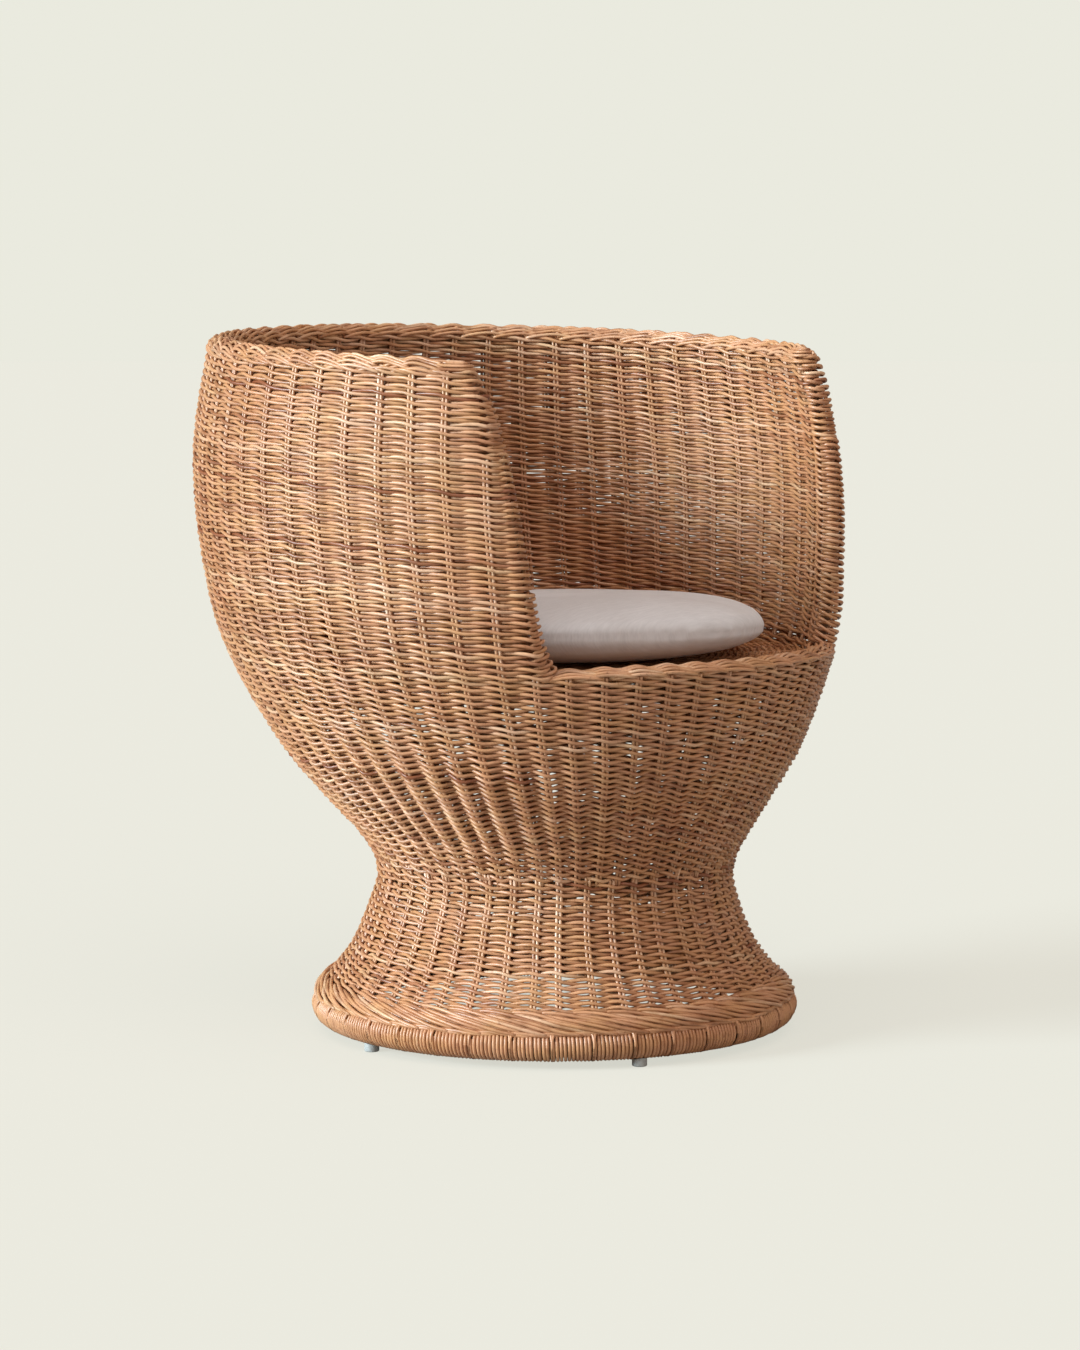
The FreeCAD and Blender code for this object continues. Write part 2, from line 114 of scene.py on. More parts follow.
def stake_angles(count, first, sense):
    step = TAU / count
    jitter = np.clip(rng.normal(0, 0.05, count), -0.1, 0.1) * step
    angles = first + sense * (np.arange(count) * step + jitter)
    angles[0] = first
    return np.append(angles, first + sense * TAU)


OUTER_STAKES = stake_angles(OUTER_COUNT, math.radians(8.43), -1)
SKIRT_STAKES = stake_angles(SKIRT_COUNT, math.radians(6.0), -1)
INNER_STAKES = stake_angles(INNER_COUNT, math.radians(-172.0), 1)


def angle_at(stakes, u):
    return np.interp(u, np.arange(len(stakes)), stakes)


def stake_coordinate(stakes, theta):
    if stakes[-1] < stakes[0]:
        return np.interp(-np.asarray(theta), -stakes, np.arange(len(stakes)))
    return np.interp(theta, stakes, np.arange(len(stakes)))


# ---- Unevenness of hand work --------------------------------------------------------------
WAVES = [
    (k, rng.uniform(-24, 24), rng.uniform(0, TAU), rng.uniform(0.4, 1.0))
    for k in (1, 2, 3, 5, 8, 11, 14, 19, 25)
]
DRIFT = 0.00042            # scale of the rows' drift up and down


def wobble(theta, z):
    """Smooth up and down drift of the rows."""
    total = sum(a * np.sin(k * theta + w * z * 4 + p) for k, w, p, a in WAVES)
    return DRIFT * total


def ripple(theta, z):
    """The lower bowl is drawn in between its stakes, most of all on the right-hand front."""
    u = stake_coordinate(OUTER_STAKES, np.mod(theta - OUTER_STAKES[0], -TAU) + OUTER_STAKES[0])
    height = smooth(z, 0.215, 0.262) * (1 - smooth(z, 0.315, 0.385))
    side = 0.45 + 0.55 * np.exp(-((np.mod(theta + math.radians(104) + math.pi, TAU) - math.pi) / 0.6) ** 2)
    return 0.0027 * np.cos(TAU * u) * height * side


# ---- Rows and where they run --------------------------------------------------------------
def row_levels():
    z = np.linspace(0.0610, 0.8055, 4000)
    pitch = ROW_PITCH - FOOT_TIGHTER * (1 - smooth(z[1:], 0.075, 0.115))
    passed = np.concatenate([[0], np.cumsum(np.hypot(np.diff(z), np.diff(through(1, z)[0])) / pitch)])
    count = int(round(passed[-1]))
    return np.interp(np.linspace(0, passed[-1], count + 1), passed, z)


def level_height(level, theta):
    """A row is level low down and lies parallel to the leaning rim at the top."""
    leaning = RIM_SLOPE * (1 - np.cos(theta)) - 0.018 * np.sin(theta)
    return level - smooth(level, 0.50, 0.79) * through(1, level)[0] * leaning


def edge_y(z, side):
    """Front of the arms. side is -1 for the sitter's right arm and 1 for the left."""
    s = np.maximum((z - 0.4495) / 0.3345, 0.0)
    front = BASE_Y - 0.221 + 0.038 * s**1.2 + (0.037 if side < 0 else 0.029) * s**6
    flare = 0.003 * np.clip((0.470 - z) / 0.026, 0, 1.1) ** 2
    return front - flare


def arm_angle(level, side):
    """Angle, counted away from the back, at which a row turns round an arm's front edge."""
    angle = math.radians(125)
    for _ in range(6):
        z = level_height(level, side * angle)
        radius, back = through(1, z)[0] - OUTER_IN - TURN_R, through(2, z)[0]
        angle = math.acos((edge_y(z, side) + TURN_R + 0.0056 - BASE_Y - back) / radius)
    return angle


def spread(theta):
    """The arms open out a little towards their front edges."""
    return 0.003 * smooth(np.abs(np.remainder(np.asarray(theta) + math.pi, TAU) - math.pi), 1.75, 2.23)


def turn(theta, z, fraction, sense, start_outside):
    """Half circle round an arm's front edge: points and outward normals."""
    edge, normal = on_shell(np.full_like(z, theta), z, spread(theta) - OUTER_IN - TURN_R)
    forward = sense * np.array([math.cos(theta), -math.sin(theta), 0.0])
    start = normal if start_outside else -normal
    psi = math.pi * fraction[:, None]
    outward = np.cos(psi) * start + np.sin(psi) * forward
    return edge + TURN_R * outward, unit(outward)


class Row:
    """One twined row: its line, the wall's outward normals, and the stake coordinate along it."""

    def __init__(self, points, normals, u, turns):
        self.points, self.normals, self.u, self.turns = points, normals, u, turns


def ring_row(level, stakes, out=-OUTER_IN):
    count = len(stakes) - 1
    u = np.arange(count * PER) / PER
    theta = angle_at(stakes, u)
    z = level_height(level, theta) + wobble(theta, level)
    points, normals = on_shell(theta, z, out + ripple(theta, z))
    return Row(points, normals, u, count)


def wall_row(level):
    near, far = arm_angle(level, -1), arm_angle(level, 1)
    u_a = stake_coordinate(OUTER_STAKES, -near)
    v_a = stake_coordinate(INNER_STAKES, -near)
    shift_in = math.ceil(u_a + 0.75 - v_a)
    u_b = v_a + shift_in
    u_c = stake_coordinate(INNER_STAKES, far) + shift_in
    u_far = stake_coordinate(OUTER_STAKES, far - TAU)
    shift_out = math.ceil(u_c + 0.75 - u_far)
    u_d = u_far + shift_out
    turns = OUTER_COUNT + shift_out
    u = np.arange(turns * PER) / PER
    points, normals = np.empty((len(u), 3)), np.empty((len(u), 3))
    theta = np.select(
        [u < u_a, u < u_b, u < u_c, u < u_d],
        [angle_at(OUTER_STAKES, u), -near, angle_at(INNER_STAKES, u - shift_in), far],
        angle_at(OUTER_STAKES, u - shift_out),
    )
    outside, inside = (u < u_a) | (u >= u_d), (u >= u_b) & (u < u_c)
    crossed = np.clip(np.minimum((u - u_a) / (u_b - u_a), (u_d - u) / (u_d - u_c)), 0, 1)
    z = level_height(level, theta) + wobble(theta, level) + 0.5 * ROW_PITCH * crossed
    opened = spread(theta)
    points[outside], normals[outside] = on_shell(theta[outside], z[outside], opened[outside] - OUTER_IN)
    points[inside], normals[inside] = on_shell(theta[inside], z[inside], opened[inside] - INNER_IN)
    normals[inside] *= -1
    first, second = (u >= u_a) & (u < u_b), (u >= u_c) & (u < u_d)
    points[first], normals[first] = turn(-near, z[first], (u[first] - u_a) / (u_b - u_a), -1, True)
    points[second], normals[second] = turn(far, z[second], (u[second] - u_c) / (u_d - u_c), 1, False)
    return Row(points, normals, u, turns)


# ---- Turning lines into strands -----------------------------------------------------------
class Strands:
    """Collects rods and strands into one mesh, with each one's tone and the way along it."""

    def __init__(self):
        self.points, self.faces, self.tones, self.ways, self.count = [], [], [], [], 0

    def add(self, centre, normal, radius, tone, way, link="open"):
        """centre is strands x samples x 3. link joins each end to its own start, or to its partner's."""
        lines, samples, _ = centre.shape
        if link == "open":
            tangent = np.gradient(centre, axis=1)
        else:
            ends, starts = centre[:, -1:], centre[:, :1]
            if link == "swap":
                ends, starts = ends[::-1], starts[::-1]
            padded = np.concatenate([ends, centre, starts], 1)
            tangent = padded[:, 2:] - padded[:, :-2]
        side = unit(np.cross(tangent, np.broadcast_to(normal, centre.shape)))
        up = unit(np.cross(side, tangent))
        phi = TAU * np.arange(SIDES) / SIDES
        radius = np.broadcast_to(np.asarray(radius, float), (lines, samples))[..., None, None]
        ring = np.cos(phi)[:, None] * up[:, :, None] + np.sin(phi)[:, None] * side[:, :, None]
        points = centre[:, :, None] + radius * ring
        index = self.count + np.arange(lines * samples * SIDES).reshape(lines, samples, SIDES)
        after = np.roll(index, -1, axis=1)
        if link == "swap":
            after[:, -1] = index[::-1, 0]
        here, there = (index[:, :-1], after[:, :-1]) if link == "open" else (index, after)
        quads = np.stack([here, np.roll(here, -1, 2), np.roll(there, -1, 2), there], -1)
        self.faces.append(quads.reshape(-1, 4))
        if link == "open":
            first, last = index[:, 0], index[:, -1][:, ::-1]
            for cap in (first, last):
                self.faces.append(cap[:, [3, 2, 1, 0]])
                self.faces.append(cap[:, [5, 4, 3, 0]])
        self.points.append(points.reshape(-1, 3))
        for store, value in ((self.tones, tone), (self.ways, way)):
            value = np.broadcast_to(np.asarray(value, float), (lines, samples))
            store.append(np.repeat(value.reshape(-1), SIDES))
        self.count += lines * samples * SIDES

    def build(self, name, slot, material, *nodes):
        points, faces = np.concatenate(self.points), np.concatenate(self.faces)
        mesh = bpy.data.meshes.new(name)
        mesh.vertices.add(len(points))
        mesh.vertices.foreach_set("co", points.astype(np.float32).ravel())
        mesh.loops.add(faces.size)
        mesh.loops.foreach_set("vertex_index", faces.astype(np.int32).ravel())
        mesh.polygons.add(len(faces))
        mesh.polygons.foreach_set("loop_start", np.arange(0, faces.size, 4, dtype=np.int32))
        mesh.update(calc_edges=True)
        mesh.validate()
        for label, values in (("tone", self.tones), ("way", self.ways)):
            attribute = mesh.attributes.new(label, "FLOAT", "POINT")
            attribute.data.foreach_set("value", np.concatenate(values).astype(np.float32))
        mesh.polygons.foreach_set("use_smooth", np.ones(len(mesh.polygons), bool))
        mesh.materials.append(material)
        piece = bpy.data.objects.new(name, mesh)
        bpy.context.scene.collection.objects.link(piece)
        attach(piece, "chair")
        if nodes:
            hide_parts(*nodes)
        return piece


def strand_tones(u, partner, base=0.5):
    """A strand is several canes end to end, each with its own tone; they change behind a stake."""
    tone, spot = np.empty(len(u)), 0.0
    shade = float(np.clip(rng.normal(base, 0.20), 0, 0.9))
    while spot < u[-1] + 1:
        end = partner + 1 + 2 * math.ceil((spot + rng.uniform(10, 26) - partner - 1) / 2)
        tone[(u >= spot) & (u < end)] = shade
        shade, spot = float(np.clip(rng.normal(base, 0.20), 0, 0.9)), end
    return tone


def twine(strands, row, radius=STRAND_R, swing=SWING, dip=DIP, base=0.5):
    """Two strands that change places between each pair of stakes."""
    link = "loop" if row.turns % 2 == 0 else "swap"
    tangent = np.roll(row.points, -1, 0) - np.roll(row.points, 1, 0)
    up = unit(np.cross(row.normals, tangent))
    centre, tones, ways = [], [], []
    drift = rng.normal(0, 0.00022)
    for partner in (0, 1):
        phase = math.pi * (row.u - partner)
        swell = 1 + 0.10 * np.sin(row.u * 0.37 + rng.uniform(0, TAU))
        across = (swing * swell * np.cos(phase))[:, None] * row.normals
        twist = np.sign(np.sin(phase)) * np.abs(np.sin(phase)) ** 0.40
        rise = (drift - dip * twist + 0.00035 * np.sin(row.u * 0.9 + rng.uniform(0, TAU)))[:, None] * up
        centre.append(row.points + across + rise)
        tones.append(strand_tones(row.u, partner, base))
        ways.append(row.u * 0.04 + rng.uniform(0, 50))
    thick = radius * (1 + 0.04 * np.sin(np.stack(tones) * 40))
    strands.add(np.stack(centre), row.normals, thick, np.stack(tones), np.stack(ways), link)


# ---- Procedural materials -----------------------------------------------------------------
def new_material(name):
    material = bpy.data.materials.new(name)
    material.use_nodes = True
    tree = material.node_tree
    shader = next(n for n in tree.nodes if n.type == "BSDF_PRINCIPLED")
    return material, tree, shader


def add(tree, kind, **settings):
    made = tree.nodes.new(kind)
    for key, value in settings.items():
        if key in made.inputs:
            made.inputs[key].default_value = value
        else:
            setattr(made, key, value)
    return made


def ramp(tree, factor, *stops):
    made = tree.nodes.new("ShaderNodeValToRGB")
    elements = made.color_ramp.elements
    while len(elements) < len(stops):
        elements.new(0.5)
    for element, (place, colour) in zip(elements, stops):
        element.position = place
        element.color = (*colour, 1) if len(colour) == 3 else colour
    tree.links.new(factor, made.inputs["Fac"])
    return made.outputs["Color"]


def mix_colours(tree, factor, a, b, mode="MIX"):
    made = tree.nodes.new("ShaderNodeMix")
    made.data_type = "RGBA"
    made.blend_type = mode
    sockets = [s for s in made.inputs if s.enabled]
    for socket, value in zip(sockets, (factor, a, b)):
        if isinstance(value, bpy.types.NodeSocket):
            tree.links.new(value, socket)
        elif isinstance(value, tuple):
            socket.default_value = (*value, 1)
        else:
            socket.default_value = value
    return next(s for s in made.outputs if s.enabled)


def noise(tree, vector, scale, detail=2.0, roughness=0.5):
    made = add(tree, "ShaderNodeTexNoise", Scale=scale, Detail=detail, Roughness=roughness)
    if vector is not None:
        tree.links.new(vector, made.inputs["Vector"])
    return made.outputs["Fac"]


def bump(tree, shader, height, strength, distance):
    made = add(tree, "ShaderNodeBump", Strength=strength, Distance=distance)
    tree.links.new(height, made.inputs["Height"])
    tree.links.new(made.outputs["Normal"], shader.inputs["Normal"])
    return made


def object_vector(tree, scale=(1, 1, 1)):
    place = tree.nodes.new("ShaderNodeTexCoord")
    stretch = add(tree, "ShaderNodeMapping", Scale=scale)
    tree.links.new(place.outputs["Object"], stretch.inputs["Vector"])
    return stretch.outputs["Vector"]


def cane(name, dark, middle, light):
    """Cane: each strand has its own tone, with streaks along it and a satin skin."""
    material, tree, shader = new_material(name)
    tone = add(tree, "ShaderNodeAttribute", attribute_name="tone").outputs["Fac"]
    way = add(tree, "ShaderNodeAttribute", attribute_name="way").outputs["Fac"]
    base = ramp(tree, tone, (0.0, dark), (0.34, middle), (0.66, middle), (1.0, light))
    spread = add(tree, "ShaderNodeMath", operation="MULTIPLY")
    spread.inputs[1].default_value = 61.0
    tree.links.new(tone, spread.inputs[0])
    along = tree.nodes.new("ShaderNodeCombineXYZ")
    tree.links.new(way, along.inputs["X"])
    tree.links.new(spread.outputs["Value"], along.inputs["Y"])
    blotch = noise(tree, along.outputs["Vector"], 19.0, 3.0, 0.6)
    shade = ramp(
        tree, blotch,
        (0.30, (0.58, 0.46, 0.38)), (0.47, (0.97, 0.97, 0.97)), (0.72, (1.14, 1.18, 1.22)),
    )
    tinted = mix_colours(tree, 1.0, base, shade, "MULTIPLY")
    patch = noise(tree, object_vector(tree), 4.2, 2.0, 0.5)
    region = ramp(tree, patch, (0.32, (0.92, 0.84, 0.78)), (0.55, (1, 1, 1)), (0.72, (1.05, 1.08, 1.10)))
    tinted = mix_colours(tree, 1.0, tinted, region, "MULTIPLY")
    yellow = noise(tree, object_vector(tree, (23, 23, 60)), 1.0, 2.0, 0.5)
    straw = ramp(tree, yellow, (0.42, (1, 1, 1)), (0.62, (0.99, 1.01, 0.90)))
    tinted = mix_colours(tree, 1.0, tinted, straw, "MULTIPLY")
    speck = noise(tree, object_vector(tree), 210.0, 3.0, 0.6)
    stain = ramp(tree, speck, (0.27, (0.50, 0.34, 0.25)), (0.40, (1, 1, 1)), (1.0, (1.04, 1.04, 1.04)))
    tinted = mix_colours(tree, 0.7, tinted, stain, "MULTIPLY")
    tree.links.new(tinted, shader.inputs["Base Color"])
    grain = noise(tree, object_vector(tree), 900.0, 2.0, 0.6)
    rough = add(tree, "ShaderNodeMapRange", **{"To Min": 0.30, "To Max": 0.52})
    tree.links.new(grain, rough.inputs["Value"])
    tree.links.new(rough.outputs["Result"], shader.inputs["Roughness"])
    shader.inputs["Specular IOR Level"].default_value = 0.62
    bump(tree, shader, grain, 0.22, 0.0004)
    return material


CANE = cane("woven_cane", (0.26, 0.082, 0.030), (0.53, 0.260, 0.130), (0.68, 0.435, 0.28))
STAKE_CANE = cane("stake_cane", (0.38, 0.155, 0.07), (0.60, 0.325, 0.185), (0.80, 0.56, 0.41))

# ---- Woven rows ---------------------------------------------------------------------------
levels = row_levels()
skirt_rows = [z for z in levels if z < 0.184]
waist_rows = [z for z in levels if 0.184 <= z < 0.1985]
bowl_rows = [z for z in levels if 0.1985 <= z < ARM_FOOT]
wall_rows = [z for z in levels if z >= ARM_FOOT]


def split(rows, parts):
    return np.array_split(np.array(rows), parts)


skirt = Strands()
for height in skirt_rows:
    twine(skirt, ring_row(height, SKIRT_STAKES))
skirt.build("woven_skirt", "woven_cane", CANE, "skirt_weave")

waist = Strands()
for height in waist_rows:
    twine(waist, ring_row(height, SKIRT_STAKES, -OUTER_IN + 0.001), 0.0020, 0.0036, 0.0023, 0.42)
waist.build("woven_waist", "woven_cane", CANE, "waist_band")

for name, rows in zip(("woven_bowl_lower", "woven_bowl_upper"), split(bowl_rows, 2)):
    bowl = Strands()
    for height in rows:
        twine(bowl, ring_row(height, OUTER_STAKES))
    bowl.build(name, "woven_cane", CANE, "bowl_weave")

lining_foot = Strands()
for height in wall_rows[0] - 0.0068 * np.arange(1, 4):
    theta = angle_at(INNER_STAKES, np.arange(INNER_COUNT * PER) / PER)
    points, normals = on_shell(theta, np.full_like(theta, height), -INNER_IN)
    twine(lining_foot, Row(points, -normals, np.arange(INNER_COUNT * PER) / PER, INNER_COUNT))
lining_foot.build("lining_foot", "woven_cane", CANE)

WALL_NODES = ("outer_wall_weave", "inner_wall_weave", "left_arm_edge_band", "right_arm_edge_band")
for number, rows in enumerate(split(wall_rows, 4), 1):
    wall = Strands()
    for height in rows:
        twine(wall, wall_row(height))
    wall.build(f"woven_wall_{number}", "woven_cane", CANE, *WALL_NODES)


# ---- Stakes -------------------------------------------------------------------------------
def stake_pair(strands, theta, low, high, inset, inward):
    """Two rods side by side from one height to another."""
    samples = max(3, int(round((high - low) / 0.0115)) + 1)
    z = np.linspace(low, high, samples)
    sway = 0.0004 * np.sin(z * 37 + rng.uniform(0, TAU))
    angle = np.full(samples, theta)
    opened = spread(angle) * smooth(z, ARM_FOOT - 0.02, ARM_FOOT + 0.02)
    points, normals = on_shell(angle, z, opened - inset + (0 if inward else 1) * ripple(angle, z))
    along = np.stack([np.cos(angle), -np.sin(angle), np.zeros(samples)], -1)
    gap = STAKE_R * (1.03 + rng.uniform(0, 0.12))
    pair = np.stack([points + (sway[:, None] + side * gap) * along for side in (-1, 1)])
    tone = np.clip(rng.normal(0.62, 0.14, (2, 1)), 0, 1) * np.ones((2, samples))
    strands.add(pair, normals, STAKE_R, tone, z * 1.0 + rng.uniform(0, 50))


def reach(theta, stop):
    """Height at which a column of stakes meets the arm's front edge, or the rim's underside."""
    side = 1 if math.remainder(theta, TAU) > 0 else -1
    across = abs(math.remainder(theta, TAU))
    top = level_height(RIM_BACK, theta) + 0.002
    z = np.linspace(ARM_FOOT, top, 60)
    clear = [across < arm_angle(h, side) - stop for h in z]
    if clear[-1]:
        return top
    return z[max(0, sum(clear) - 1)] if clear[0] else None


outer_stakes = Strands()
for theta in OUTER_STAKES[:-1]:
    top = reach(theta, 0.035)
    stake_pair(outer_stakes, theta, 0.192, top if top else 0.4415, OUTER_IN, False)
outer_stakes.build("bucket_stakes", "woven_cane", STAKE_CANE)

inner_stakes = Strands()
for theta in INNER_STAKES[:-1]:
    top = reach(theta, 0.035)
    if top:
        stake_pair(inner_stakes, theta, 0.434, top, INNER_IN, True)
inner_stakes.build("lining_stakes", "woven_cane", STAKE_CANE)

skirt_stakes = Strands()
for theta in SKIRT_STAKES[:-1]:
    stake_pair(skirt_stakes, theta, 0.060, 0.2035 + rng.uniform(-0.004, 0.004), OUTER_IN - 0.0006, False)
skirt_stakes.build("skirt_stakes", "woven_cane", STAKE_CANE)


# ---- Rim and apron borders: strands arch over each pair of stakes -------------------------
def along_rim(theta):
    """Middle of the wall under the rim border, the way out of the wall, and up."""
    z = level_height(RIM_BACK, theta)
    points, normals = on_shell(theta, z, -(OUTER_IN + TURN_R))
    return points, normals


def along_apron(theta):
    z = np.full_like(theta, 0.4338) + 0.006 * smooth(np.cos(theta + math.pi), 0.6, 1.0)
    points, normals = on_shell(theta, z, -0.0145)
    return points, normals


def arched(strands, line, theta, phi, half, height, lift, radius, tone):
    """Strands at angles phi over the border's rounded section: 0 on top, 90 degrees outside."""
    points, normals = line(theta)
    flat = normals * np.array([1, 1, 0])
    flat = unit(flat)
    up = np.array([0, 0, 1.0])
    drop = np.maximum(np.abs(phi) - math.pi / 2, 0) * height * 0.9
    across = np.sin(np.clip(phi, -math.pi / 2, math.pi / 2)) * (half + lift)
    rise = np.cos(np.clip(phi, -math.pi / 2, math.pi / 2)) * (height + lift) - drop
    centre = points + across[..., None] * flat + rise[..., None] * up
    normal = unit(np.sin(phi)[..., None] * flat + np.cos(phi)[..., None] * up)
    strands.add(centre, normal, radius, tone, np.cumsum(np.full(theta.shape, 0.004), 1) + rng.uniform(0, 50))


OUTER_ARCHES = ((2, 46), (26, 66), (50, 86), (72, 100))
INNER_ARCHES = ((0, 34), (22, 52), (44, 70), (66, 88))


def arches(strands, line, stakes, first, last, sense, half, height, bundle=OUTER_ARCHES, span=0.92):
    """One bundle of four strands for each stake between two stake coordinates."""
    t = np.linspace(-1, 1, 17)
    for k in range(math.ceil(first), math.floor(last) + 1):
        for j, (crest, foot) in enumerate(bundle):
            stretch = span * rng.uniform(0.95, 1.05)
            u = np.mod(k + (j - 1.5) * 0.04 + t * stretch, len(stakes) - 1)
            shape = np.cos(t * math.pi / 2)
            phi = np.radians(foot + (crest - foot) * shape + rng.normal(0, 2)) * sense
            scallop = 0.0017 * np.cos(TAU * u) * np.cos(phi)
            crossing = 0.0011 * np.sin(math.pi * 0.5 * t * sense)
            tucked = 0.0030 * np.abs(t) ** 5
            lift = scallop + crossing + 0.0008 * shape - tucked
            tone = float(np.clip(rng.normal(0.62, 0.17), 0, 1))
            theta = angle_at(stakes, u)
            arched(strands, line, theta[None], phi[None], half, height, lift[None], 0.00195, tone)


def lengthwise(strands, line, first, last, phis, half, height):
    theta = np.linspace(first, last, 260)
    for phi in phis:
        angles = np.full(theta.shape, math.radians(phi)) + 0.06 * np.sin(theta * 37 + phi)
        tone = strand_tones(np.linspace(0, 60, 260), 0, 0.5)
        lift = np.full((1, 260), -0.0048)
        arched(strands, line, theta[None], angles[None], half, height, lift, 0.0021, tone)


def rim_cap(strands, theta_end, sense):
    """Strands drawn round the front corner of an arm at the rim."""
    level = RIM_BACK
    for j, (phi, reach_back) in enumerate(((92, 0.10), (70, 0.085), (48, 0.07), (26, 0.055), (8, 0.045))):
        f = np.linspace(0, 1, 25)
        psi = math.pi * np.clip((f - 0.2) / 0.6, 0, 1)
        back = reach_back * (np.clip(0.2 - f, 0, 1) + np.clip(f - 0.8, 0, 1)) / 0.2
        theta = theta_end - sense * back
        points, normals = on_shell(theta, level_height(level, theta), -(OUTER_IN + TURN_R))
        flat = unit(normals * np.array([1, 1, 0]))
        forward = sense * np.stack([np.cos(theta), -np.sin(theta), 0 * theta], -1)
        slant = math.radians(min(phi, 90))
        wide, tall = math.sin(slant) * RIM_HALF, math.cos(slant) * 0.0125
        outward = np.cos(psi)[:, None] * flat + np.sin(psi)[:, None] * forward
        centre = points + wide * outward + np.array([0, 0, 1.0]) * (tall - (0.003 if phi > 90 else 0))
        upward = np.array([0, 0, math.cos(math.radians(phi)) + 1e-3])
        normal = unit(math.sin(math.radians(phi)) * outward + upward)
        tone = float(np.clip(rng.normal(0.6, 0.15), 0, 1))
        strands.add(centre[None], normal[None], 0.0019, tone, (f * 0.12)[None] + rng.uniform(0, 50))


near_rim, far_rim = arm_angle(RIM_BACK, -1), arm_angle(RIM_BACK, 1)
RIM_HALF, RIM_TALL = 0.0152, 0.0130
rim = Strands()
lengthwise(rim, along_rim, -near_rim, far_rim, (-84, -56, -28, 0, 28, 56, 84), RIM_HALF, RIM_TALL)
u_near = stake_coordinate(OUTER_STAKES, -near_rim)
u_far = stake_coordinate(OUTER_STAKES, far_rim - TAU)
arches(rim, along_rim, OUTER_STAKES, 0, u_near - 0.45, 1, RIM_HALF, RIM_TALL)
arches(rim, along_rim, OUTER_STAKES, u_far + 0.45, OUTER_COUNT - 0.5, 1, RIM_HALF, RIM_TALL)
arches(
    rim, along_rim, INNER_STAKES, stake_coordinate(INNER_STAKES, -near_rim) + 0.45,
    stake_coordinate(INNER_STAKES, far_rim) - 0.45, -1, RIM_HALF, RIM_TALL, INNER_ARCHES,
)
rim_cap(rim, -near_rim, -1)
rim_cap(rim, far_rim, 1)
rim.build("plaited_rim", "woven_cane", CANE, "rim_border")

near_foot, far_foot = arm_angle(ARM_FOOT, -1), arm_angle(ARM_FOOT, 1)
apron = Strands()
APRON_HALF, APRON_TALL = 0.0125, 0.0078
lengthwise(
    apron, along_apron, -near_foot + 0.05, far_foot - TAU - 0.05, (-80, -50, -18, 18, 50, 80),
    APRON_HALF, APRON_TALL,
)
u_left = stake_coordinate(OUTER_STAKES, -near_foot)
u_right = stake_coordinate(OUTER_STAKES, far_foot - TAU)
arches(apron, along_apron, OUTER_STAKES, u_left + 0.2, u_right - 0.2, 1, APRON_HALF, APRON_TALL)
arches(apron, along_apron, OUTER_STAKES, u_left + 0.2, u_right - 0.2, -1, APRON_HALF, APRON_TALL)
apron.build("plaited_apron", "woven_cane", CANE, "apron_border")


# ---- Foot border: long strands plaited over one another -----------------------------------
def plait(strands, start, run, high, low, lift_mid, lift_end, width):
    t = np.linspace(0, 1, 22)
    for k in range(SKIRT_COUNT):
        for j in range(width):
            u = np.mod(k + start + j * 0.16 + run * t, SKIRT_COUNT)
            theta = angle_at(SKIRT_STAKES, u)
            z = high + (low - high) * smooth(t, 0, 1) + (j - 0.5 * (width - 1)) * 0.0036
            lift = lift_end + (lift_mid - lift_end) * np.sin(math.pi * t) ** 0.8
            points, normals = on_shell(theta, z, lift)
            tone = float(np.clip(rng.normal(0.58, 0.16), 0, 1))
            strands.add(points[None], normals[None], 0.0021, tone, (t * 0.1)[None] + rng.uniform(0, 50))


foot = Strands()
plait(foot, 0.0, 2.6, 0.0610, 0.0468, 0.0012, -0.0050, 3)
for height in (0.0440, 0.0486, 0.0532, 0.0578):
    twine(foot, ring_row(height, SKIRT_STAKES, -0.0048), 0.0023, 0.0012, 0.0010)
foot.build("plaited_foot", "woven_cane", CANE, "foot_border")

# ---- Base ring wrapping -------------------------------------------------------------------
RING_R, RING_Z, WRAP_R = 0.267, 0.027, 0.019
COIL_R = 0.00212
GROUPS = 38


def round_ring(theta, phi, radius):
    """Point on the ring's section: phi 0 faces out, 90 degrees up."""
    away = np.stack([np.sin(theta), np.cos(theta), 0 * theta], -1)
    normal = np.cos(phi)[..., None] * away + np.sin(phi)[..., None] * np.array([0, 0, 1.0])
    return np.array([0, BASE_Y, RING_Z]) + RING_R * away + radius[..., None] * normal, normal


wrapping = Strands()
gap_angles = []
pitch_total = TAU / GROUPS
start = 0.0
for group in range(GROUPS):
    turns = 10
    gap = math.radians(0.30)
    a, b = start + gap / 2, start + pitch_total - gap / 2
    samples = turns * 14
    f = np.linspace(0, 1, samples)
    theta = a + (b - a) * f + math.radians(0.05) * np.sin(f * 31 + group)
    phi = TAU * turns * f + 0.4
    turn_tone = np.repeat(np.clip(rng.normal(0.55, 0.10, turns), 0, 1), 14)
    points, normals = round_ring(theta, phi, np.full(samples, WRAP_R - COIL_R))
    wrapping.add(points[None], normals[None], COIL_R, turn_tone[None], (f * 1.1)[None] + rng.uniform(0, 50))
    gap_angles.append(start)
    start += pitch_total

for angle in gap_angles:
    t = np.linspace(0, 1, 18)
    for lean, tone in ((0.9, 0.7), (-0.9, 0.5)):
        theta = angle + math.radians(lean) * (1 - smooth(t, 0.0, 0.35))
        phi = np.radians(100 - 250 * t)
        points, normals = round_ring(theta, phi, WRAP_R + 0.0006 - 0.0022 * smooth(t, 0.15, 0.5))
        wrapping.add(points[None], normals[None], 0.0017, tone, (t * 0.06)[None] + rng.uniform(0, 50))
wrapping.build("wrapped_ring", "woven_cane", CANE, "base_ring_wrapping")


# ---- Seat panel ---------------------------------------------------------------------------
SEAT_IN = 0.0048           # from the panel's top face down to its middle


